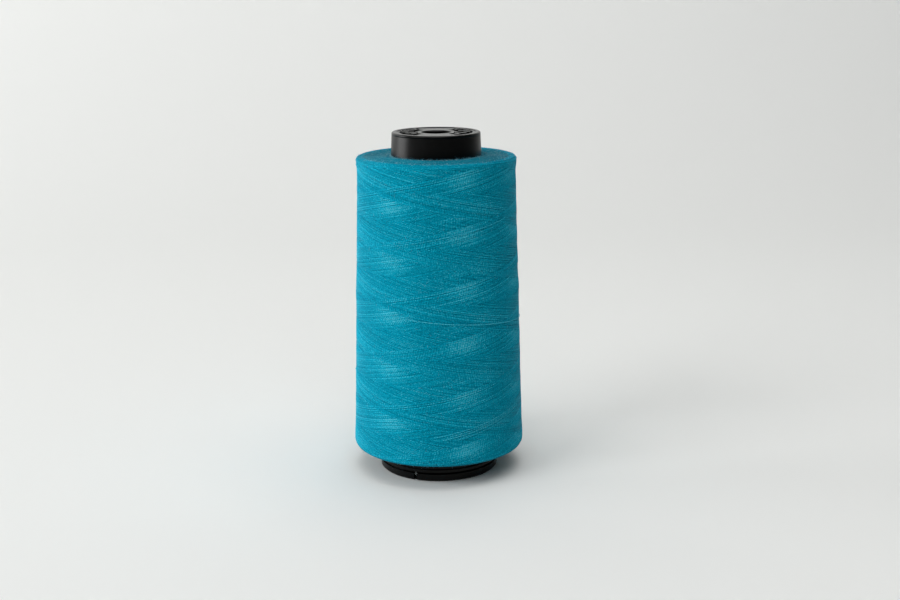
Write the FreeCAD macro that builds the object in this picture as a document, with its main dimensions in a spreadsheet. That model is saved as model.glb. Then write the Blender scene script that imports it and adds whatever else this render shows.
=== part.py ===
import FreeCAD, Part

import math
import os

import Sketcher

# A king spool of sewing thread: a tapered plastic tube that stands on a push-on
# foot ring, with about 5000 m of thread cross-wound on it. Millimetres, +Z up,
# origin at the middle of the face that the spool stands on.

doc = FreeCAD.newDocument("ThreadSpool")

# ---------------------------------------------------------------- sizes

sizes = doc.addObject("Spreadsheet::Sheet", "Sizes")
driving_sizes = [
    ("faceHeight", 125.0, "top face of the tube above the table"),
    ("topRadius", 15.95, "outside of the tube at its top face"),
    ("taperAngle", 2.44, "degrees that the tube's wall leans from the axis"),
    ("tubeWall", 1.5, "wall of the tube"),
    ("topEdgeRadius", 0.55, "rounding of the tube's upper edge"),
    ("webThickness", 2.4, "end wall under the top face"),
    ("rimWidth", 1.1, "raised rim round the top face"),
    ("faceSink", 0.2, "top face below the rim"),
    ("spindleRadius", 5.2, "hole for the spool pin"),
    ("spindleChamfer", 0.4, "lead-in of that hole"),
    ("hubWall", 1.6, "wall of the hub sleeve"),
    ("hubLength", 22.0, "hub sleeve below the rim"),
    ("ribThickness", 1.2, "ribs from the hub to the wall"),
    ("ribDepth", 14.0, "ribs below the end wall"),
    ("ribCount", 6, "number of ribs"),
    ("innerLand", 2.2, "top face between the hole and the two recesses in it"),
    ("outerLand", 1.1, "top face between the recesses and the rim"),
    ("recessHalfAngle", 54.0, "degrees each way from the middle of a recess"),
    ("recessDepth", 0.8, "recess below the top face"),
    ("barWidth", 1.05, "raised bars in the recesses"),
    ("barMargin", 0.55, "bar ends inside the recess outline"),
    ("barRise", 0.4, "bars above the top face"),
    ("barPitch", 16.0, "degrees from bar to bar"),
    ("footHeight", 2.65, "visible ring of the foot"),
    ("grooveGap", 0.75, "thread groove between foot and tube flange"),
    ("grooveDepth", 1.4, "how far the groove goes in"),
    ("flangeThickness", 1.0, "flange at the lower end of the tube"),
    ("flangeStep", 0.71, "flange outside the tube's wall"),
    ("socketWall", 1.35, "tube wall round the foot's collar"),
    ("beadProjection", 0.5, "inward bead that holds the snap hooks"),
    ("beadRise", 1.4, "bead above the tube's lower end"),
    ("beadHeight", 1.0, "straight part of the bead"),
    ("slidingClearance", 0.15, "between the foot's collar and the tube"),
    ("stopClearance", 0.1, "left at the end of the foot's travel"),
    ("seatClearance", 0.05, "between the foot's lip and the flange"),
    ("footTravel", 4.0, "pull that opens the thread lock"),
    ("collarWall", 1.3, "wall of the foot's collar"),
    ("hookHeight", 0.7, "straight part of a snap hook"),
    ("hookLead", 0.9, "sloped part of a snap hook"),
    ("fingerSlotWidth", 2.0, "slots that part the snap fingers"),
    ("fingerSlotRise", 5.2, "lower end of those slots above the table"),
    ("footChamfer", 0.5, "lower outside edge of the foot"),
    ("notchWidth", 1.2, "thread notch in the foot's ring"),
    ("notchDepth", 1.15, "how far the notch goes in, short of the groove's floor"),
    ("notchAngle", 247.0, "degrees from +X to the thread notch"),
    ("windingBottom", 8.8, "lower end of the winding above the table"),
    ("bareTube", 8.7, "tube that shows above the winding"),
    ("windingDepthLow", 10.55, "thread on the tube at the lower end"),
    ("windingDepthHigh", 12.15, "thread on the tube at the upper end"),
    ("windingRise", 0.35, "upper face climbs this much towards the tube"),
    ("lowShoulder", 1.9, "rounding of the winding's lower edge"),
    ("highShoulder", 0.9, "rounding of the winding's upper edge"),
    ("threadRadius", 0.14, "half of the thread's thickness"),
    ("strandHeight", 61.5, "where the last turn crosses the front"),
    ("strandAngle", 5.4, "degrees that the last turn falls"),
    ("strandStart", 238.0, "degrees from +X where the last turn comes up"),
    ("strandSweep", 230.0, "degrees of the last turn that lie on top"),
    ("strandArcs", 10, "arcs that make its path"),
    ("strandBedding", 0.35, "share of its radius that the strand sinks in"),
]
for row, (alias, value, note) in enumerate(driving_sizes, start=1):
    sizes.set(f"A{row}", note)
    sizes.set(f"B{row}", str(value))
    sizes.setAlias(f"B{row}", alias)
doc.recompute()


def cells(text):
    """Writes Sizes. in front of each alias in an expression."""
    words = {alias for alias, _, _ in driving_sizes}
    pieces, word = [], ""
    for letter in text + " ":
        if letter.isalnum():
            word += letter
            continue
        pieces.append(f"Sizes.{word}" if word in words else word)
        pieces.append(letter)
        word = ""
    return "".join(pieces).strip()


def number(text):
    """The present value of an expression, as a plain number."""
    value = sizes.evalExpression(cells(text))
    return float(getattr(value, "Value", value))


# Heights and radii that several pieces share, as expressions on the sheet.
flange_low = "(footHeight + grooveGap)"
flange_high = f"({flange_low} + flangeThickness)"


def tube_radius(height):
    return f"(topRadius + (faceHeight - {height}) * tan(taperAngle * 1deg))"


flange_radius = f"({tube_radius(flange_high)} + flangeStep)"
socket_radius = f"({tube_radius(flange_high)} - socketWall)"
bead_radius = f"({socket_radius} - beadProjection)"
bead_low = f"({flange_low} + beadRise)"
bead_high = f"({bead_low} + beadHeight)"
collar_radius = f"({bead_radius} - slidingClearance)"
hook_radius = f"({socket_radius} - slidingClearance)"
hook_low = f"({bead_high} + footTravel + stopClearance)"
collar_high = f"({hook_low} + hookHeight + hookLead)"
socket_high = f"({collar_high} + hookLead)"
face_level = "(faceHeight - faceSink)"
web_low = "(faceHeight - webThickness)"
hub_radius = "(spindleRadius + hubWall)"
rim_inner = "(topRadius - rimWidth - topEdgeRadius)"
recess_inner = "(spindleRadius + innerLand)"
recess_outer = f"({rim_inner} - outerLand)"
winding_top = "(faceHeight - bareTube)"


# ---------------------------------------------------------------- helpers


def new_body(label):
    body = doc.addObject("PartDesign::Body", label)
    body.Label = label
    return body


def sketch_on(body, name, role, height=None):
    sketch = body.newObject("Sketcher::SketchObject", name)
    plane = next(f for f in body.Origin.OriginFeatures if f.Role == role)
    sketch.AttachmentSupport = [(plane, "")]
    sketch.MapMode = "FlatFace"
    if height:
        sketch.setExpression("AttachmentOffset.Base.z", cells(height))
    return sketch


def pin_point(sketch, line, end, x, y):
    """Holds one end of a line at a place given by two expressions."""
    for kind, text in (("DistanceX", x), ("DistanceY", y)):
        index = sketch.addConstraint(
            Sketcher.Constraint(kind, -1, 1, line, end, number(text))
        )
        sketch.setExpression(f"Constraints[{index}]", cells(text))


def add_outline(sketch, points):
    """A closed outline with straight sides; each corner is two expressions."""
    places = [FreeCAD.Vector(number(x), number(y), 0) for x, y in points]
    first = sketch.GeometryCount
    count = len(points)
    for i in range(count):
        sketch.addGeometry(Part.LineSegment(places[i], places[(i + 1) % count]))
    for i in range(count):
        following = first + (i + 1) % count
        sketch.addConstraint(
            Sketcher.Constraint("Coincident", first + i, 2, following, 1)
        )
    for i, (x, y) in enumerate(points):
        pin_point(sketch, first + i, 1, x, y)


def revolve(body, name, points):
    """A round piece, from half of its section: (radius, height) corners."""
    sketch = sketch_on(body, name + "Section", "XZ_Plane")
    add_outline(sketch, points)
    turned = body.newObject("PartDesign::Revolution", name)
    turned.Profile = sketch
    turned.ReferenceAxis = (sketch, ["V_Axis"])
    turned.Angle = 360
    doc.recompute()
    return turned


def round_pattern(body, feature, name, count, angle=360):
    z_axis = next(f for f in body.Origin.OriginFeatures if f.Role == "Z_Axis")
    pattern = body.newObject("PartDesign::PolarPattern", name)
    pattern.Originals = [feature]
    pattern.Axis = (z_axis, [""])
    pattern.Angle = angle
    if isinstance(count, str):
        pattern.setExpression("Occurrences", cells(count))
    else:
        pattern.Occurrences = count
    body.Tip = pattern
    doc.recompute()
    return pattern


def ring_edges(shape, radius, height):
    """Names of the full circles about the axis with that radius and height."""
    names = []
    for i, edge in enumerate(shape.Edges, start=1):
        curve = edge.Curve
        if not isinstance(curve, Part.Circle):
            continue
        same_radius = abs(curve.Radius - number(radius)) < 0.01
        same_height = abs(curve.Center.z - number(height)) < 0.01
        centred = math.hypot(curve.Center.x, curve.Center.y) < 0.01
        if same_radius and same_height and centred:
            names.append(f"Edge{i}")
    return names


def dress_edges(body, kind, name, base, edges, size_name, size):
    dressed = body.newObject(kind, name)
    dressed.Base = (base, edges)
    dressed.setExpression(size_name, cells(size))
    body.Tip = dressed
    doc.recompute()
    return dressed


def cut_volume(body, before, what):
    """Stops the build if a cut took nothing away."""
    if body.Shape.Volume > before - 0.01:
        raise RuntimeError(f"{what} cut nothing")


# ---------------------------------------------------------------- spool tube


def make_tube():
    """The tapered tube, moulded in one with its end wall, hub, ribs and flange."""
    body = new_body("spool_tube")
    inside = f"({tube_radius(web_low)} - tubeWall)"
    shell = revolve(
        body,
        "TubeShell",
        [
            ("spindleRadius", face_level),
            (rim_inner, face_level),
            (rim_inner, "faceHeight"),
            ("topRadius", "faceHeight"),
            (tube_radius(flange_high), flange_high),
            (flange_radius, flange_high),
            (flange_radius, flange_low),
            (socket_radius, flange_low),
            (socket_radius, f"{bead_low} - beadProjection"),
            (bead_radius, bead_low),
            (bead_radius, bead_high),
            (socket_radius, bead_high),
            (socket_radius, socket_high),
            (f"{tube_radius(socket_high)} - tubeWall", socket_high),
            (inside, web_low),
            (hub_radius, web_low),
            (hub_radius, "faceHeight - hubLength"),
            ("spindleRadius", "faceHeight - hubLength"),
        ],
    )

    edges = ring_edges(shell.Shape, "topRadius", "faceHeight")
    shell = dress_edges(
        body, "PartDesign::Fillet", "TopEdge", shell, edges, "Radius", "topEdgeRadius"
    )
    edges = ring_edges(shell.Shape, "spindleRadius", face_level)
    dress_edges(
        body, "PartDesign::Chamfer", "PinLeadIn", shell, edges, "Size", "spindleChamfer"
    )

    add_ribs(body)
    add_face_recesses(body)
    add_face_bars(body)
    return body


def add_ribs(body):
    """Upright ribs that carry the hub, under the end wall."""
    rib_low = f"({web_low} - ribDepth)"
    sketch = sketch_on(body, "RibSection", "XZ_Plane")
    into = "tubeWall / 2"
    add_outline(
        sketch,
        [
            (f"{hub_radius} - hubWall / 2", f"{web_low} + webThickness / 2"),
            (f"{tube_radius(web_low)} - {into}", f"{web_low} + webThickness / 2"),
            (f"{tube_radius(rib_low)} - {into}", rib_low),
            (f"{hub_radius} - hubWall / 2", rib_low),
        ],
    )
    rib = body.newObject("PartDesign::Pad", "Rib")
    rib.Profile = sketch
    rib.setExpression("Length", cells("ribThickness"))
    rib.Midplane = True
    doc.recompute()
    round_pattern(body, rib, "Ribs", "ribCount")


def add_face_recesses(body):
    """Two fan-shaped recesses in the top face, on the left and on the right."""
    sketch = sketch_on(body, "RecessOutline", "XY_Plane", face_level)
    half = math.radians(number("recessHalfAngle"))
    centre, up = FreeCAD.Vector(), FreeCAD.Vector(0, 0, 1)
    arcs = []
    for radius in (recess_inner, recess_outer):
        circle = Part.Circle(centre, up, number(radius))
        arc = sketch.addGeometry(Part.ArcOfCircle(circle, -half, half))
        sketch.addConstraint(Sketcher.Constraint("Coincident", arc, 3, -1, 1))
        index = sketch.addConstraint(Sketcher.Constraint("Radius", arc, number(radius)))
        sketch.setExpression(f"Constraints[{index}]", cells(radius))
        arcs.append(arc)
    for side, end in ((-1, 1), (1, 2)):
        corners = [
            FreeCAD.Vector(
                number(radius) * math.cos(half), side * number(radius) * math.sin(half)
            )
            for radius in (recess_inner, recess_outer)
        ]
        line = sketch.addGeometry(Part.LineSegment(*corners))
        sketch.addConstraint(Sketcher.Constraint("Coincident", line, 1, arcs[0], end))
        sketch.addConstraint(Sketcher.Constraint("Coincident", line, 2, arcs[1], end))
        sketch.addConstraint(Sketcher.Constraint("PointOnObject", -1, 1, line))
        index = sketch.addConstraint(
            Sketcher.Constraint("Angle", -1, 1, line, 1, side * half)
        )
        sketch.setExpression(
            f"Constraints[{index}]", cells(f"{side} * recessHalfAngle * 1deg")
        )
    before = body.Shape.Volume
    recess = body.newObject("PartDesign::Pocket", "Recess")
    recess.Profile = sketch
    recess.setExpression("Length", cells("recessDepth"))
    doc.recompute()
    cut_volume(body, before, "the face recess")
    round_pattern(body, recess, "Recesses", 2)


def add_face_bars(body):
    """Raised bars in the recesses, long and short by turns."""
    sketch = sketch_on(body, "BarOutlines", "XY_Plane", f"{face_level} - recessDepth")
    bars_each_way = 3
    for step in range(-bars_each_way, bars_each_way + 1):
        turn = f"({step} * barPitch * 1deg)"
        inner = f"({recess_inner} + barMargin)"
        if step % 2:
            inner = f"(({recess_inner} + {recess_outer}) / 2)"
        outer = f"({recess_outer} - barMargin)"
        corners = []
        for radius, side in ((inner, -1), (outer, -1), (outer, 1), (inner, 1)):
            across = f"({side} * barWidth / 2)"
            corners.append(
                (
                    f"{radius} * cos({turn}) - {across} * sin({turn})",
                    f"{radius} * sin({turn}) + {across} * cos({turn})",
                )
            )
        add_outline(sketch, corners)
    bars = body.newObject("PartDesign::Pad", "Bar")
    bars.Profile = sketch
    bars.setExpression("Length", cells("recessDepth + barRise"))
    doc.recompute()
    round_pattern(body, bars, "Bars", 2)


# ---------------------------------------------------------------- foot ring


def make_foot():
    """The push-on foot: an outer ring, and a collar with four hooked fingers."""
    body = new_body("thread_lock_foot")
    lip_radius = f"({flange_radius} - grooveDepth)"
    lip_high = f"({flange_low} - seatClearance)"
    collar_inside = f"({collar_radius} - collarWall)"
    revolve(
        body,
        "FootRing",
        [
            (collar_inside, "0"),
            (f"{flange_radius} - footChamfer", "0"),
            (flange_radius, "footChamfer"),
            (flange_radius, "footHeight"),
            (lip_radius, "footHeight"),
            (lip_radius, lip_high),
            (collar_radius, lip_high),
            (collar_radius, hook_low),
            (hook_radius, hook_low),
            (hook_radius, f"{hook_low} + hookHeight"),
            (collar_radius, collar_high),
            (collar_inside, collar_high),
        ],
    )

    sketch = sketch_on(body, "FingerSlotSection", "XZ_Plane")
    half_slot = "fingerSlotWidth / 2"
    above = f"{collar_high} + collarWall"
    add_outline(
        sketch,
        [
            (f"-{half_slot}", "fingerSlotRise"),
            (half_slot, "fingerSlotRise"),
            (half_slot, above),
            (f"-{half_slot}", above),
        ],
    )
    before = body.Shape.Volume
    slot = body.newObject("PartDesign::Pocket", "FingerSlot")
    slot.Profile = sketch
    slot.Type = "Length"
    slot.Midplane = True
    slot.setExpression("Length", cells(f"4 * {flange_radius}"))
    doc.recompute()
    cut_volume(body, before, "the finger slot")
    round_pattern(body, slot, "FingerSlots", 2, 90)

    sketch = sketch_on(body, "NotchOutline", "XY_Plane", "footHeight")
    turn = "(notchAngle * 1deg)"
    inner = f"({flange_radius} - notchDepth)"
    outer = f"({flange_radius} + notchWidth)"
    corners = []
    for radius, side in ((inner, -1), (outer, -1), (outer, 1), (inner, 1)):
        across = f"({side} * notchWidth / 2)"
        corners.append(
            (
                f"{radius} * cos({turn}) - {across} * sin({turn})",
                f"{radius} * sin({turn}) + {across} * cos({turn})",
            )
        )
    add_outline(sketch, corners)
    before = body.Shape.Volume
    notch = body.newObject("PartDesign::Pocket", "ThreadNotch")
    notch.Profile = sketch
    notch.setExpression("Length", cells("footHeight + footChamfer"))
    body.Tip = notch
    doc.recompute()
    cut_volume(body, before, "the thread notch")
    return body


# ---------------------------------------------------------------- thread


def winding_radius(height):
    """Outside of the winding at a height, between its two end radii."""
    low = f"({tube_radius('windingBottom')} + windingDepthLow)"
    high = f"({tube_radius(winding_top)} + windingDepthHigh)"
    share = f"(({height} - windingBottom) / ({winding_top} - windingBottom))"
    return f"({low} + ({high} - {low}) * {share})"


def make_winding():
    """The cross-wound thread as one closed solid, tight on the tube."""
    body = new_body("thread_winding")
    inner_high = f"({winding_top} + windingRise)"
    wound = revolve(
        body,
        "Winding",
        [
            (tube_radius("windingBottom"), "windingBottom"),
            (winding_radius("windingBottom"), "windingBottom"),
            (winding_radius(winding_top), winding_top),
            (tube_radius(inner_high), inner_high),
        ],
    )
    edges = ring_edges(wound.Shape, winding_radius("windingBottom"), "windingBottom")
    wound = dress_edges(
        body, "PartDesign::Fillet", "LowEdge", wound, edges, "Radius", "lowShoulder"
    )
    edges = ring_edges(wound.Shape, winding_radius(winding_top), winding_top)
    dress_edges(
        body, "PartDesign::Fillet", "HighEdge", wound, edges, "Radius", "highShoulder"
    )
    return body


def strand_place(angle):
    """A point of the last turn's centre line, at an angle from +X in degrees."""
    front_angle = 270.0
    per_turn = 2 * math.pi * number(winding_radius("strandHeight"))
    per_turn *= math.tan(math.radians(number("strandAngle")))
    height = number("strandHeight") - per_turn * (angle - front_angle) / 360
    radius = number(winding_radius(str(height)))
    radius += number("threadRadius * (1 - strandBedding)")
    turn = math.radians(angle)
    return FreeCAD.Vector(radius * math.cos(turn), radius * math.sin(turn), height)


def make_last_turn():
    """The last turn of thread, which lies a little loose on the winding."""
    step = number("strandSweep / strandArcs")
    arcs = []
    for i in range(int(number("strandArcs"))):
        begin = number("strandStart") + i * step
        places = [strand_place(begin + step * share) for share in (0, 0.5, 1)]
        arcs.append(Part.Arc(*places).toShape())
    path = Part.Wire(arcs)
    direction = arcs[0].tangentAt(arcs[0].FirstParameter)
    circle = Part.Circle(arcs[0].firstVertex().Point, direction, number("threadRadius"))
    section = Part.Wire(circle.toShape())
    strand = doc.addObject("Part::Feature", "last_turn")
    strand.Label = "last_turn"
    strand.Shape = path.makePipeShell([section], True, True)
    full = math.pi * number("threadRadius") ** 2 * path.Length
    if abs(strand.Shape.Volume / full - 1) > 0.01:
        raise RuntimeError("the last turn is not a tube of even thickness")
    return strand


# ---------------------------------------------------------------- build

pieces = [make_tube(), make_foot(), make_winding(), make_last_turn()]
doc.recompute()

for item in doc.Objects:
    if "Invalid" in item.State or "Error" in item.State:
        raise RuntimeError(f"{item.Label} failed: {item.State}")
for piece in pieces:
    shape = piece.Shape
    if shape.isNull() or not shape.isValid() or len(shape.Solids) != 1:
        raise RuntimeError(f"{piece.Label} is not one valid solid")

os.makedirs("parts", exist_ok=True)
for piece in pieces:
    piece.Shape.exportStep(f"parts/{piece.Label}.step")
    box = piece.Shape.BoundBox
    print(
        f"{piece.Label}: {piece.Shape.Volume:.1f} mm3,"
        f" z {box.ZMin:.2f} to {box.ZMax:.2f}, radius {box.XMax:.2f}"
    )
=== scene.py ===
import math
import bpy
import numpy as np
from mathutils import Matrix, Vector


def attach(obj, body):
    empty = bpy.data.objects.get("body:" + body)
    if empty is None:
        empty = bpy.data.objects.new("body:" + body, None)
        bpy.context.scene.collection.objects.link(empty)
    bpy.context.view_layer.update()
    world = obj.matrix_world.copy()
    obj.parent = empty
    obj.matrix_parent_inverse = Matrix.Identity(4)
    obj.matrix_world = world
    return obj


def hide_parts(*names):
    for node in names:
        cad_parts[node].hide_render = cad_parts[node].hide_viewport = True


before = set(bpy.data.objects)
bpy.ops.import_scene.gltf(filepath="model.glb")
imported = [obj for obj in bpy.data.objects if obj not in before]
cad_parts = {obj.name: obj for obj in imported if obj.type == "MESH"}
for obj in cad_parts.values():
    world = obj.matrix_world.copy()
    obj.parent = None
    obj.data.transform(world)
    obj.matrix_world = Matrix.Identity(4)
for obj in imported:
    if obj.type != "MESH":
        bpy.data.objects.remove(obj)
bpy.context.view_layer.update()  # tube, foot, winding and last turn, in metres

mm = 0.001
bpy.context.scene.view_settings.view_transform = "Standard"  # keeps the dye's full colour


def toLinear(hexColour):
    values = [int(hexColour[i:i + 2], 16) / 255 for i in (1, 3, 5)]
    linear = [v / 12.92 if v <= 0.04045 else ((v + 0.055) / 1.055) ** 2.4 for v in values]
    return (*linear, 1.0)


def addNode(tree, kind, settings=None, values=None, links=None):
    node = tree.nodes.new(kind)
    for name, value in (settings or {}).items():
        setattr(node, name, value)
    for socket, value in (values or {}).items():
        node.inputs[socket].default_value = value
    for socket, source in (links or {}).items():
        tree.links.new(source, node.inputs[socket])
    return node


def newMaterial(name):
    material = bpy.data.materials.new(name)
    material.use_nodes = True
    return material, material.node_tree, material.node_tree.nodes["Principled BSDF"]


def deselectAll():
    if bpy.context.mode != "OBJECT":
        bpy.ops.object.mode_set(mode="OBJECT")
    bpy.ops.object.select_all(action="DESELECT")


# thread: spun polyester, Tex 27, its plies twisted together, dyed teal
threadSizes = {  # mm
    "thickness": 0.28,
    "plyTwist": 0.95,  # length of one turn of a ply
}

threadLooks = {
    "deep": "#005C74", "dye": "#0098B5", "bright": "#06ACC8", "fleck": "#5CCADC",
    "gleam": "#0CC0E0",
    "roughness": 0.6, "specular": 0.05, "sheen": 0.0,
}

fuzzAndPaintedSheenLooks = {  # the end faces, where every run turns back and its fibres stand up; their greyer, paler colours are painted sheen, for the whitish look of the standing fibres seen edge-on
    "deep": "#024C60", "dye": "#087F97", "bright": "#2394A8", "fleck": "#8CBFC9",
    "gleam": "#4FB4C4",
    "roughness": 0.6, "specular": 0.06, "sheen": 0.10,
}


fibreLooks = {
    "scale": 2600.0,  # about 0.4 mm, coarser than real fibres so that they show
    "plyShade": 0.12, "fibreShade": 2.0,  # how much the plies vary the tone (painted shade in their grooves, painted highlight on their crests) and how much the fibres vary it
    # the fleck stop is reached mostly where the painted highlight patches raise the tone: painted glints
    # of single fibres
    "stops": ((0.8, "deep"), (1.42, "dye"), (1.65, "bright"), (2.1, "fleck")),  # tone, colour
    "brightest": 2.4,  # tone at the end of the ramp
    "plyHeight": 0.03,  # mm
    "sheenTint": "#8FE0EC",
}


def makeThreadMaterial(name, looks):
    # matt dyed fibres: a soft gleam on each ply from its bump, painted shade and highlight along each ply
    # (darker in its grooves, lighter on its crests), and pale flecks from the fibres' random tone, whose
    # palest, where the runs' tone is high, are painted glints
    material, tree, shader = newMaterial(name)
    tone = addNode(tree, "ShaderNodeAttribute", {"attribute_name": "runTone"})
    along = addNode(tree, "ShaderNodeUVMap", {"uv_map": "alongThread"})
    parts = addNode(tree, "ShaderNodeSeparateXYZ", {}, {}, {"Vector": along.outputs["UV"]})
    turns = addNode(tree, "ShaderNodeMath", {"operation": "ADD"}, {},
                    {0: parts.outputs["X"], 1: parts.outputs["Y"]})
    phase = addNode(tree, "ShaderNodeMath", {"operation": "MULTIPLY"}, {1: 2 * math.pi},
                    {0: turns.outputs[0]})
    plies = addNode(tree, "ShaderNodeMath", {"operation": "SINE"}, {}, {0: phase.outputs[0]})
    place = addNode(tree, "ShaderNodeTexCoord")
    fibres = addNode(tree, "ShaderNodeTexNoise", {},
                     {"Scale": fibreLooks["scale"], "Detail": 2.0, "Roughness": 0.7},
                     {"Vector": place.outputs["Object"]})
    # painted shade and highlight: the ply wave darkens the base colour in the grooves between plies and
    # lightens it on their crests
    twisted = addNode(tree, "ShaderNodeMath", {"operation": "MULTIPLY_ADD"}, {1: fibreLooks["plyShade"]},
                      {0: plies.outputs[0], 2: tone.outputs["Fac"]})
    # random tone of the fibres; its palest flecks, where the tone is high, are painted glints
    mixed = addNode(tree, "ShaderNodeMath", {"operation": "MULTIPLY_ADD"}, {1: fibreLooks["fibreShade"]},
                    {0: fibres.outputs[0], 2: twisted.outputs[0]})
    share = addNode(tree, "ShaderNodeMath", {"operation": "DIVIDE"}, {1: fibreLooks["brightest"]},
                    {0: mixed.outputs[0]})
    ramp = addNode(tree, "ShaderNodeValToRGB", {}, {}, {"Fac": share.outputs[0]})
    elements = ramp.color_ramp.elements
    elements.remove(elements[0])
    for i, (where, colour) in enumerate(fibreLooks["stops"]):
        position = where / fibreLooks["brightest"]
        stop = elements[0] if i == 0 else elements.new(position)
        stop.position = position
        stop.color = toLinear(looks[colour])
    tree.links.new(ramp.outputs["Color"], shader.inputs["Base Color"])
    bump = addNode(tree, "ShaderNodeBump", {}, {"Strength": 0.3, "Distance": fibreLooks["plyHeight"] * mm},
                   {"Height": plies.outputs[0]})
    tree.links.new(bump.outputs["Normal"], shader.inputs["Normal"])
    shader.inputs["Roughness"].default_value = looks["roughness"]
    shader.inputs["Specular IOR Level"].default_value = looks["specular"]
    shader.inputs["Specular Tint"].default_value = toLinear(looks["gleam"])
    shader.inputs["Sheen Weight"].default_value = looks["sheen"]
    shader.inputs["Sheen Roughness"].default_value = 0.4
    shader.inputs["Sheen Tint"].default_value = toLinear(fibreLooks["sheenTint"])
    return material


threadMaterial = makeThreadMaterial("spunPolyesterTeal", threadLooks)
fuzzAndPaintedSheenMaterial = makeThreadMaterial("spunPolyesterFuzzAndPaintedSheen", fuzzAndPaintedSheenLooks)


# the package: a core, the crossing runs of thread on it and its two end faces
package = {  # mm
    "lowEnd": 8.8, "highEnd": 116.3,
    "lowRadius": 31.45, "highRadius": 28.47,
    "lowTube": 20.90, "highTube": 16.32,
    "topRise": 0.35,
    "swells": ((114.6, 2.4, 0.40), (67.5, 4.0, 0.22), (12.5, 3.0, 0.22)),  # height, spread, how far out
    "lowShoulder": 1.9, "highShoulder": 1.2,
    "doublePasses": 128,  # times that the thread goes up and down again
    "pointsPerTurn": 60,
    "lowMargin": 0.40, "highMargin": 0.25,  # from an end to the tips of the runs
    "turnback": 6.0,  # length over which the thread turns back at an end
    "layerStep": 0.24,  # how far a run under another one lies deeper
    "patchEdge": 17.0,  # height where the newest rising run passes the side of the painted highlight patches
    "patchSide": 289.0,  # degrees round from +X
    "patches": 7, "patchWidth": 9.0,  # round the package; degrees
    "paintedPatchHighlight": 0.34,  # painted highlight: how much paler the runs on top are in the patches
    "endSpread": 0.16,  # how far the tips of the runs vary at an end
    "coreInset": 0.5,  # from the runs in to the core
    "coreGap": 0.02,  # between the core and the tube
    "coreSteps": 144,  # sides round the core
    "wander": 0.07,  # how far a run strays up or down
    "lumps": 0.06,
    "seed": 5,
}


def packageRadius(z):
    p = package
    share = (z - p["lowEnd"]) / (p["highEnd"] - p["lowEnd"])
    radius = p["lowRadius"] + (p["highRadius"] - p["lowRadius"]) * share
    below = np.clip(p["lowShoulder"] - (z - p["lowEnd"]), 0, p["lowShoulder"])
    above = np.clip(p["highShoulder"] - (p["highEnd"] - z), 0, p["highShoulder"])
    for height, spread, out in p["swells"]:  # where runs pile up
        radius = radius + out * np.exp(-((z - height) / spread) ** 2)
    radius = radius - (p["lowShoulder"] - np.sqrt(p["lowShoulder"] ** 2 - below ** 2))
    return radius - (p["highShoulder"] - np.sqrt(p["highShoulder"] ** 2 - above ** 2))


def lumps(turn, z):
    # slow swells of the package, a few tenths of a millimetre over some centimetres
    rng = np.random.default_rng(package["seed"])
    total = np.zeros_like(z)
    for around in (0, 1, 2, 3, 5):
        for waves in (9.0, 15.0, 27.0):
            total += rng.normal() * np.sin(2 * np.pi * (around * turn + z / waves + rng.random()))
    return total * package["lumps"] / 4


def threadMesh(name, points, thickness, tones=None, sides=1, material=threadMaterial):
    # one long run of thread through the points (mm), as a closed tube
    curve = bpy.data.curves.new(name, "CURVE")
    curve.dimensions = "3D"
    curve.twist_mode = "Z_UP"
    curve.bevel_depth = thickness / 2 * mm
    curve.bevel_resolution = sides
    curve.use_fill_caps = True
    spline = curve.splines.new("POLY")
    spline.points.add(len(points) - 1)
    flat = np.ones((len(points), 4), np.float32)
    flat[:, :3] = points * mm
    spline.points.foreach_set("co", flat.ravel())
    piece = bpy.data.objects.new(name, curve)
    bpy.context.collection.objects.link(piece)
    deselectAll()
    piece.select_set(True)
    bpy.context.view_layer.objects.active = piece
    bpy.ops.object.convert(target="MESH")
    mesh = piece.data
    around = 2 * (sides + 2)
    caps = len(mesh.vertices) - around * len(points)
    tone = np.full(len(mesh.vertices), 0.4, np.float32)
    if tones is not None:
        tone[caps:] = np.repeat(tones, around)
        tone[:caps] = tones[0]
    mesh.attributes.new("runTone", "FLOAT", "POINT").data.foreach_set("value", tone)
    layer = mesh.uv_layers[0]
    layer.name = "alongThread"
    places = np.empty(len(mesh.loops) * 2, np.float32)
    layer.uv.foreach_get("vector", places)
    length = np.linalg.norm(np.diff(points, axis=0), axis=1).sum()
    places[0::2] *= length / threadSizes["plyTwist"]
    layer.uv.foreach_set("vector", places)
    bpy.ops.object.mode_set(mode="EDIT")
    bpy.ops.mesh.select_all(action="SELECT")
    bpy.ops.mesh.remove_doubles(threshold=1e-7)
    bpy.ops.mesh.faces_shade_smooth()
    bpy.ops.object.mode_set(mode="OBJECT")
    mesh.materials.append(material)
    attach(piece, "spool")
    return piece


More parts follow.
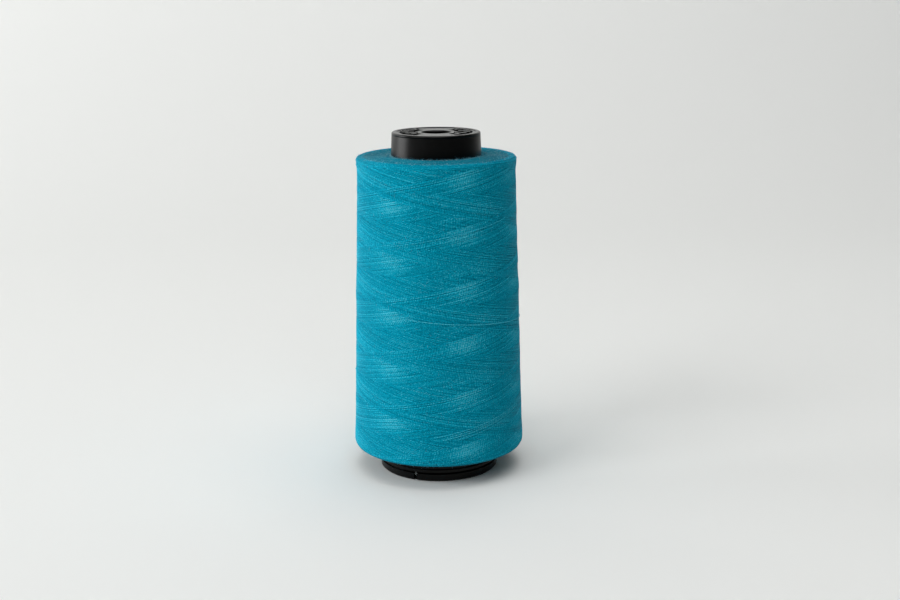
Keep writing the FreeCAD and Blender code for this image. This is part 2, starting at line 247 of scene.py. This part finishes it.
def windPath():
    # the thread's own course: up and down the package while it goes round
    p = package
    rng = np.random.default_rng(p["seed"])
    passes = p["doublePasses"]
    height = p["highEnd"] - p["lowEnd"] - p["lowMargin"] - p["highMargin"]
    perPass = 5.5 - 0.5 / passes  # turns for one way up and down
    climb = 2 * height / perPass
    count = int(passes * perPass * p["pointsPerTurn"])
    turn = np.arange(count) / p["pointsPerTurn"]
    passNumber = np.floor(turn / perPass)
    share = turn / perPass - passNumber
    up = share < 0.5
    rise = np.where(up, share, 1 - share) * 2 * height  # 0 at the low end, then back
    # rounded at both ends, where the thread turns back
    soft = p["turnback"] / (2 * np.pi * 30) * climb
    rise = np.where(rise < soft, (rise ** 2 / soft + soft) / 2, rise)
    left = height - rise
    rise = np.where(left < soft, height - (left ** 2 / soft + soft) / 2, rise)
    ends = rng.normal(0, p["endSpread"], (2, passes + 1))
    index = passNumber.astype(int)
    spare = np.clip(1 - rise / 4, 0, 1)
    rise = rise + (ends[0][np.where(up, index, index + 1)] + 0.1) * spare
    rise = rise - np.clip(1 - left / 4, 0, 1) * (np.abs(ends[1][index]) + 0.05)
    # newest rising run at the patch edge, on the chosen side
    side = p["patchSide"] / 360
    start = side - (p["patchEdge"] - p["lowEnd"] - p["lowMargin"]) / climb
    z = p["lowEnd"] + p["lowMargin"] + rise
    place = turn + start
    own = passNumber / passes
    risingCrossing = np.mod(2 * (rise / climb - (place - start)), 1)
    fallingCrossing = np.mod(-2 * (rise / climb + (place - start)), 1)
    other = np.where(up, fallingCrossing, risingCrossing)
    ahead = np.clip((own - other) / 0.02, -1, 1)
    depth = (1 - ahead) / 2 * p["layerStep"]
    # runs stray a little, and by turns lie proud or sink in
    run = 2 * index + np.where(up, 0, 1)
    drift = np.zeros(count)
    for waves in (0.31, 0.83, 2.1):
        drift += np.sin(2 * np.pi * (turn / waves + rng.random(2 * passes)[run])) / 3
    runOffset = np.clip(rng.standard_t(3, 2 * passes) * 0.45, -2, 2)[run]
    z = z + p["wander"] * (drift + runOffset)
    radius = packageRadius(np.clip(z, p["lowEnd"] + 0.15, p["highEnd"] - 0.06))
    radius = radius - threadSizes["thickness"] / 2 - depth + lumps(place, z)
    angle = 2 * np.pi * place
    # each run has a random tone; fresh runs lie smooth, and a painted highlight makes them paler in
    # patches, rising ones on one side and falling ones on the other
    tones = 0.42 + 0.09 * rng.normal(0, 1, 2 * passes)[run]
    middle = np.where(up, side, 1.5 - side)
    off = np.mod((place - middle) * p["patches"] + 0.5, 1) - 0.5
    patch = np.exp(-0.5 * (off / p["patches"] * 360 / p["patchWidth"]) ** 2)
    tones += p["paintedPatchHighlight"] * np.where(up, 1, 0.35) * patch * np.clip((own - other) * 2.5, 0, 1)
    points = np.stack([radius * np.cos(angle), radius * np.sin(angle), z], axis=1)
    return points, np.clip(tones, 0.1, 1.2)


def makeRuns():
    points, tones = windPath()
    pieces = 4
    size = len(points) // pieces
    for i in range(pieces):
        part = slice(i * size, (i + 1) * size + 1)
        piece = threadMesh(f"thread_runs_{i + 1}", points[part], threadSizes["thickness"], tones[part])
        print(piece.name, len(piece.data.polygons), "faces")


makeRuns()


def makeCore():
    # what lies under the outer runs: a plain ring, which the runs and the end faces cover
    p = package
    deselectAll()
    bpy.ops.mesh.primitive_plane_add(size=1)
    core = bpy.context.object
    core.name = "thread_core"
    inset, gap = p["coreInset"], p["coreGap"]
    low, high = p["lowEnd"] + inset, p["highEnd"] - inset
    corners = [(p["lowTube"] + gap, low), (p["lowRadius"] - inset, low),
               (p["highTube"] + gap, high + p["topRise"]), (p["highRadius"] - inset, high)]
    for vertex, (x, z) in zip(core.data.vertices, corners):
        vertex.co = (x * mm, 0, z * mm)
    bpy.ops.object.mode_set(mode="EDIT")
    bpy.ops.mesh.select_all(action="SELECT")
    bpy.ops.mesh.spin(steps=p["coreSteps"], angle=2 * math.pi, center=(0, 0, 0), axis=(0, 0, 1))
    bpy.ops.mesh.select_all(action="SELECT")
    bpy.ops.mesh.remove_doubles(threshold=1e-6)
    bpy.ops.mesh.delete_loose()
    bpy.ops.mesh.select_all(action="SELECT")
    bpy.ops.mesh.normals_make_consistent(inside=False)
    bpy.ops.object.mode_set(mode="OBJECT")
    core.data.materials.append(threadMaterial)
    # painted shade: a low tone makes the core darker than the runs, for the shade in the gaps between them
    tone = np.full(len(core.data.vertices), 0.1, np.float32)
    core.data.attributes.new("runTone", "FLOAT", "POINT").data.foreach_set("value", tone)
    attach(core, "spool")
    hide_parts("thread_winding")
    print("core", len(core.data.polygons), "faces")


makeCore()


endFaces = {  # a spiral of thread on each
    "topTurns": 34, "edgeTurns": 13, "lowTurns": 42,
    "tone": 0.36, "edgeTone": 0.40,
    "flatEnd": 1.6,  # mm in from the rim's rounding, where the flat face ends
    "lap": 0.1,  # mm that the edge's spiral reaches under the face's
    "stray": 0.10,  # mm that a turn strays
    "pointsPerTurn": 90,
}


def makeEndFace(name, outline, turns, tone, material):
    # a spiral of thread over an end face and round its shoulder; outline in (radius, z)
    rng = np.random.default_rng(package["seed"] + len(name))
    count = int(turns * endFaces["pointsPerTurn"])
    turn = np.arange(count) / endFaces["pointsPerTurn"]
    steps = np.concatenate([[0], np.cumsum(np.hypot(*np.diff(np.array(outline), axis=0).T))])
    along = turn / turns * steps[-1]
    radius = np.interp(along, steps, [r for r, z in outline])
    z = np.interp(along, steps, [z for r, z in outline])
    stray = np.zeros(count)
    for waves in (0.37, 0.9, 2.7, 6.1):
        stray += np.sin(2 * np.pi * (turn / waves + rng.random())) / 4
    radius = radius + endFaces["stray"] * stray
    z = z + endFaces["stray"] * np.sin(2 * np.pi * (turn / 0.61 + stray))
    angle = 2 * np.pi * turn
    points = np.stack([radius * np.cos(angle), radius * np.sin(angle), z], axis=1)
    tones = tone + 0.12 * stray
    return threadMesh(name, points, threadSizes["thickness"], tones, material=material)


def shoulder(z, radius, size, first, last):
    # points of a rounded edge, from one direction to another in degrees
    return [(radius + size * math.cos(math.radians(a)), z + size * math.sin(math.radians(a)))
            for a in np.linspace(first, last, 7)]


def makeEndFaces():
    p = package
    half = threadSizes["thickness"] / 2
    size = p["highShoulder"]
    top = [(p["highTube"] + half, p["highEnd"] + p["topRise"] - half)]
    rim = float(packageRadius(np.array(p["highEnd"] - size))) - size
    top += [(rim - endFaces["flatEnd"], p["highEnd"] - half)]
    makeEndFace("thread_face_top", top, endFaces["topTurns"], endFaces["tone"], fuzzAndPaintedSheenMaterial)
    edge = [(rim - endFaces["flatEnd"] - endFaces["lap"], p["highEnd"] - half)]
    edge += shoulder(p["highEnd"] - size, rim, size - half * 0.4, 90, -15)
    makeEndFace("thread_edge_top", edge, endFaces["edgeTurns"], endFaces["edgeTone"], threadMaterial)
    size = p["lowShoulder"]
    low = [(p["lowTube"] + half, p["lowEnd"] + half)]
    low += shoulder(p["lowEnd"] + size, p["lowRadius"] - size, size - half, -90, -10)
    makeEndFace("thread_face_low", low, endFaces["lowTurns"], endFaces["tone"], fuzzAndPaintedSheenMaterial)
    print("end faces done")


makeEndFaces()

# turns that lie on top of the others: the last one, which falls, and some loose ones. Their tones are
# paler than the runs': painted highlight, for the light that these proud turns catch
topTurns = {  # height at the front (mm), rise, start and sweep (degrees round from +X), tone
    "last_turn_thread": (61.5, -5.4, 238.0, 230.0, 0.80),
    "loose_turn_1": (91.0, 10.3, 236.0, 92.0, 0.68),
    "loose_turn_2": (104.5, -12.6, 186.0, 70.0, 0.62),
    "loose_turn_3": (20.3, 11.4, 266.0, 74.0, 0.72),
    "loose_turn_4": (47.0, 12.2, 40.0, 150.0, 0.70),
    "loose_turn_5": (80.0, -11.0, 20.0, 120.0, 0.66),
    "loose_turn_6": (18.7, 12.0, 272.0, 68.0, 0.80),
    "loose_turn_7": (19.5, 11.8, 277.0, 60.0, 0.70),
    "loose_turn_8": (17.5, 12.4, 281.0, 56.0, 0.66),
}
bedding = 0.35  # share of half a thread that sinks in


def makeTopTurns():
    count = 180  # points along a turn
    for name, (front, rise, start, sweep, tone) in topTurns.items():
        angle = np.radians(np.linspace(start, start + sweep, count))
        perTurn = 2 * np.pi * 29.9 * math.tan(math.radians(rise))
        z = front + perTurn * (angle - math.radians(270)) / (2 * np.pi)
        radius = packageRadius(z) + threadSizes["thickness"] / 2 * (1 - bedding)
        if name != "last_turn_thread":  # its tips go under the neighbours
            share = np.linspace(0, 1, count)
            radius = radius - 0.35 * np.clip(1 - np.minimum(share, 1 - share) * 20, 0, 1)
        points = np.stack([radius * np.cos(angle), radius * np.sin(angle), z], axis=1)
        piece = threadMesh(name, points, threadSizes["thickness"], np.full(count, tone))
        if name == "last_turn_thread":
            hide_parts("last_turn")
    print("top turns", len(topTurns))


makeTopTurns()


# loose fibres that stand out of the thread, thickest where the winding meets the tube
fuzz = {  # count, length (mm), thickness (mm), share that stands up
    "topRing": (2600, (0.4, 1.5), 0.032, 0.70),
    "topFace": (1500, (0.6, 1.6), 0.05, 0.40),
    "lowRing": (900, (0.6, 1.8), 0.055, 0.75),
    "side": (900, (0.8, 2.6), 0.035, 0.22),
    "notch": (9, (0.9, 1.9), 0.16, 0.5),
}


def makeFuzzMaterial(name, dark, pale):
    # single fibres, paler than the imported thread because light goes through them
    material, tree, shader = newMaterial(name)
    place = addNode(tree, "ShaderNodeTexCoord")
    cloud = addNode(tree, "ShaderNodeTexNoise", {}, {"Scale": 900.0, "Detail": 1.0},
                    {"Vector": place.outputs["Object"]})
    ramp = addNode(tree, "ShaderNodeValToRGB", {}, {}, {"Fac": cloud.outputs[0]})
    ramp.color_ramp.elements[0].position = 0.40
    ramp.color_ramp.elements[0].color = toLinear(dark)
    ramp.color_ramp.elements[1].position = 0.68
    ramp.color_ramp.elements[1].color = toLinear(pale)
    tree.links.new(ramp.outputs["Color"], shader.inputs["Base Color"])
    shader.inputs["Roughness"].default_value = 0.6
    shader.inputs["Specular IOR Level"].default_value = 0.2
    return material


fuzzMaterial = makeFuzzMaterial("looseDyedFibres", "#0F8CA8", "#A9D6DE")
# the grey lint is a painted glint in the foot's thread notch
lintGlintMaterial = makeFuzzMaterial("greyLintPaintedGlint", "#7E8B8C", "#DDE4E2")


def makeFuzz(name, sort, foot, outward, body="spool", arc=(0, 360), material=fuzzMaterial):
    # foot gives where each hair starts; outward is the way it stands up there
    count, lengths, thickness, stand = fuzz[sort]
    rng = np.random.default_rng(len(name) * 7 + count)
    angle = np.radians(rng.uniform(*arc, count))
    start = foot(rng, angle)
    up = outward(angle)
    along = np.stack([-np.sin(angle), np.cos(angle), np.zeros(count)], axis=1)
    other = np.cross(up, along)
    way = rng.random(count) * 2 * np.pi
    flat = along * np.cos(way)[:, None] + other * np.sin(way)[:, None]
    length = rng.uniform(*lengths, count)[:, None]
    rise = (rng.random(count) ** 1.5 * stand)[:, None]
    bend = rng.normal(0, 0.35, (count, 3))
    curve = bpy.data.curves.new(name, "CURVE")
    curve.dimensions = "3D"
    curve.bevel_depth = thickness / 2 * mm
    curve.bevel_resolution = 0
    curve.use_fill_caps = True
    steps = np.linspace(0, 1, 5)
    for i in range(count):
        spline = curve.splines.new("POLY")
        spline.points.add(len(steps) - 1)
        for k, t in enumerate(steps):
            place = start[i] + length[i] * (flat[i] * (1 - rise[i]) * t
                                            + up[i] * rise[i] * (1.6 * t - 0.6 * t * t)
                                            + bend[i] * rise[i] * t * t * 0.6)
            spline.points[k].co = (*(place * mm), 1)
            spline.points[k].radius = 1 - 0.6 * t
    piece = bpy.data.objects.new(name, curve)
    bpy.context.collection.objects.link(piece)
    deselectAll()
    piece.select_set(True)
    bpy.context.view_layer.objects.active = piece
    bpy.ops.object.convert(target="MESH")
    piece.data.materials.append(material)
    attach(piece, body)
    print(name, len(piece.data.polygons), "faces")
    return piece


def ringPlaces(inner, outer, height, crowd):
    def foot(rng, angle):
        radius = inner + (outer - inner) * rng.random(len(angle)) ** crowd
        z = height - 0.08 * rng.random(len(angle))
        return np.stack([radius * np.cos(angle), radius * np.sin(angle), z], axis=1)
    return foot


def sidePlaces(rng, angle):
    z = rng.uniform(package["lowEnd"] + 0.6, package["highEnd"] - 0.2, len(angle))
    radius = packageRadius(z) - 0.1
    return np.stack([radius * np.cos(angle), radius * np.sin(angle), z], axis=1)


def upright(direction):
    return lambda angle: np.tile(np.array([0.0, 0.0, direction]), (len(angle), 1))


def sideways(angle):
    return np.stack([np.cos(angle), np.sin(angle), 0 * angle], axis=1)


notchLintGlint = {"inner": 20.3, "outer": 20.9, "height": 2.4, "arc": (245.5, 248.5)}  # mm, degrees


def makeLooseFibres():
    p = package
    collar = ringPlaces(p["highTube"] + 0.1, p["highTube"] + 1.6, p["highEnd"] + p["topRise"], 1.6)
    topFace = ringPlaces(p["highTube"] + 0.8, p["highRadius"] - 0.3, p["highEnd"] + 0.1, 0.8)
    lowFace = ringPlaces(p["lowTube"] + 0.2, p["lowRadius"] - 1.5, p["lowEnd"] + 0.1, 1.0)
    makeFuzz("fuzz_top_ring", "topRing", collar, upright(1.0))
    makeFuzz("fuzz_top_face", "topFace", topFace, upright(1.0))
    makeFuzz("fuzz_low_ring", "lowRing", lowFace, upright(-1.0))
    makeFuzz("fuzz_side", "side", sidePlaces, sideways)
    # a pinch of pale grey lint in the foot's thread notch, put there as a painted glint for the light that
    # the notch's wall catches
    notch = ringPlaces(notchLintGlint["inner"], notchLintGlint["outer"], notchLintGlint["height"], 1.0)
    makeFuzz("lint_notch", "notch", notch, sideways, "foot", notchLintGlint["arc"], lintGlintMaterial)


makeLooseFibres()


# moulded black polypropylene of the tube and the foot
plasticLooks = {
    "black": "#010101",
    "roughLow": 0.27, "roughHigh": 0.37,
    "specular": 0.155,
    "polishedFrom": 124.75,  # mm up; the top face is smoother, as its mould was
    "polish": 0.30,
    "polishFade": 0.2,  # mm over which the polish begins
    "coatRoughness": 0.12,
    "lineHeight": 124.2,  # mm up; the mould's parting line
    "lineWidth": 0.36, "lineDepth": 0.3,  # mm
}


def makePlasticMaterial(name):
    # satin skin from a fine-ground mould, with faint flow marks
    material, tree, shader = newMaterial(name)
    place = addNode(tree, "ShaderNodeTexCoord")
    cloud = addNode(tree, "ShaderNodeTexNoise", {}, {"Scale": 180.0, "Detail": 4.0},
                    {"Vector": place.outputs["Object"]})
    rough = addNode(tree, "ShaderNodeMapRange", {},
                    {"To Min": plasticLooks["roughLow"], "To Max": plasticLooks["roughHigh"]},
                    {"Value": cloud.outputs[0]})
    grain = addNode(tree, "ShaderNodeTexNoise", {}, {"Scale": 5000.0, "Detail": 2.0},
                    {"Vector": place.outputs["Object"]})
    bump = addNode(tree, "ShaderNodeBump", {}, {"Strength": 0.12, "Distance": 0.02 * mm},
                   {"Height": grain.outputs[0]})
    parts = addNode(tree, "ShaderNodeSeparateXYZ", {}, {}, {"Vector": place.outputs["Object"]})
    smoothFrom = plasticLooks["polishedFrom"] * mm
    polish = addNode(tree, "ShaderNodeMapRange", {},
                     {"From Min": smoothFrom - plasticLooks["polishFade"] * mm, "From Max": smoothFrom,
                      "To Min": 0.0, "To Max": plasticLooks["polish"]},
                     {"Value": parts.outputs["Z"]})
    tree.links.new(polish.outputs[0], shader.inputs["Coat Weight"])
    shader.inputs["Coat Roughness"].default_value = plasticLooks["coatRoughness"]
    lineAt, lineHalf = plasticLooks["lineHeight"] * mm, plasticLooks["lineWidth"] / 2 * mm
    step = addNode(tree, "ShaderNodeMapRange", {"interpolation_type": "SMOOTHSTEP"},
                   {"From Min": lineAt - lineHalf, "From Max": lineAt + lineHalf},
                   {"Value": parts.outputs["Z"]})
    line = addNode(tree, "ShaderNodeBump", {},
                   {"Strength": 1.0, "Distance": plasticLooks["lineDepth"] * mm},
                   {"Height": step.outputs[0], "Normal": bump.outputs["Normal"]})
    tree.links.new(rough.outputs[0], shader.inputs["Roughness"])
    tree.links.new(line.outputs["Normal"], shader.inputs["Normal"])
    shader.inputs["Base Color"].default_value = toLinear(plasticLooks["black"])
    shader.inputs["Specular IOR Level"].default_value = plasticLooks["specular"]
    return material


for node, name in (("spool_tube", "satinBlackPolypropylene"), ("thread_lock_foot", "satinBlackFoot")):
    plastic = makePlasticMaterial(name)
    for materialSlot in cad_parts[node].material_slots:
        materialSlot.material = plastic
print("plastic done")


# studio: pale floor that curves up behind, soft lamps and the camera
studio = {
    "floor": "#EDEEEC",
    "world": "#DDE2E6", "worldStrength": 0.02,
    "size": 6.0, "wall": 0.95,  # m; how far behind the spool the floor turns up
    "wallHeight": 3.0, "curve": 0.5,  # m
}


def makeFloor():
    deselectAll()
    middle = studio["wall"] - studio["size"] / 2
    bpy.ops.mesh.primitive_plane_add(size=studio["size"], location=(0, middle, 0))
    bpy.ops.object.transform_apply(location=True)
    floor = bpy.context.object
    floor.name = "studio_floor"
    bpy.ops.object.mode_set(mode="EDIT")
    bpy.ops.mesh.select_all(action="DESELECT")
    bpy.ops.object.mode_set(mode="OBJECT")
    for edge in floor.data.edges:
        edge.select = all(floor.data.vertices[v].co.y > 0 for v in edge.vertices)
    bpy.ops.object.mode_set(mode="EDIT")
    bpy.ops.mesh.extrude_region_move(TRANSFORM_OT_translate={"value": (0, 0, studio["wallHeight"])})
    bpy.ops.object.mode_set(mode="OBJECT")
    for edge in floor.data.edges:
        ends = [floor.data.vertices[v].co for v in edge.vertices]
        edge.select = all(end.y > 0 and end.z < 0.1 for end in ends)
    bpy.ops.object.mode_set(mode="EDIT")
    bpy.ops.mesh.bevel(offset=studio["curve"], segments=24, affect="EDGES")
    bpy.ops.mesh.select_all(action="SELECT")
    bpy.ops.mesh.faces_shade_smooth()
    bpy.ops.object.mode_set(mode="OBJECT")
    material, tree, shader = newMaterial("paleSeamlessPaper")
    shader.inputs["Base Color"].default_value = toLinear(studio["floor"])
    shader.inputs["Roughness"].default_value = 0.9
    shader.inputs["Specular IOR Level"].default_value = 0.1
    floor.data.materials.append(material)


makeFloor()


lamps = {  # place, what it aims at, width and height (m), power (W)
    "windowLow": ((-1.7, 0.2, 0.25), (0, 0, 0.1), 0.9, 0.44, 16.5),
    "windowFrontLeft": ((-1.7, -1.3, 1.3), (0, 0, 0.06), 1.4, 1.2, 24.0),
    "softboxAbove": ((0.1, -0.12, 1.4), (0, 0, 0.06), 1.3, 1.1, 9.5),
    "softboxFront": ((0, -1.7, 1.5), (0, 0, 0.06), 1.4, 1.0, 8.0),
}


def makeLamps():
    for name, (place, aim, width, height, power) in lamps.items():
        lamp = bpy.data.lights.new(name, "AREA")
        lamp.shape = "RECTANGLE"
        lamp.size, lamp.size_y = width, height
        lamp.energy = power
        holder = bpy.data.objects.new(name, lamp)
        bpy.context.collection.objects.link(holder)
        holder.location = place
        holder.rotation_euler = (Vector(aim) - Vector(place)).to_track_quat("-Z", "Y").to_euler()


makeLamps()


def makeWorld():
    world = bpy.data.worlds.new("studioWorld")
    bpy.context.scene.world = world
    world.use_nodes = True
    background = world.node_tree.nodes["Background"]
    background.inputs["Color"].default_value = toLinear(studio["world"])
    background.inputs["Strength"].default_value = studio["worldStrength"]


makeWorld()

view = {
    "lens": 54.17, "sensor": 36.0, "place": (0.00458, -0.4862, 0.1782),
    "pitch": 13.35, "roll": -0.425,  # degrees
}


def makeCamera():
    camera = bpy.data.cameras.new("camera")
    camera.lens = view["lens"]
    camera.sensor_width = view["sensor"]
    camera.clip_start = 0.01
    holder = bpy.data.objects.new("camera", camera)
    bpy.context.collection.objects.link(holder)
    tilt = Matrix.Rotation(math.radians(90 - view["pitch"]), 4, "X")
    lean = Matrix.Rotation(math.radians(view["roll"]), 4, "Z")
    holder.matrix_world = Matrix.Translation(view["place"]) @ tilt @ lean
    bpy.context.scene.camera = holder


makeCamera()
print("studio done")
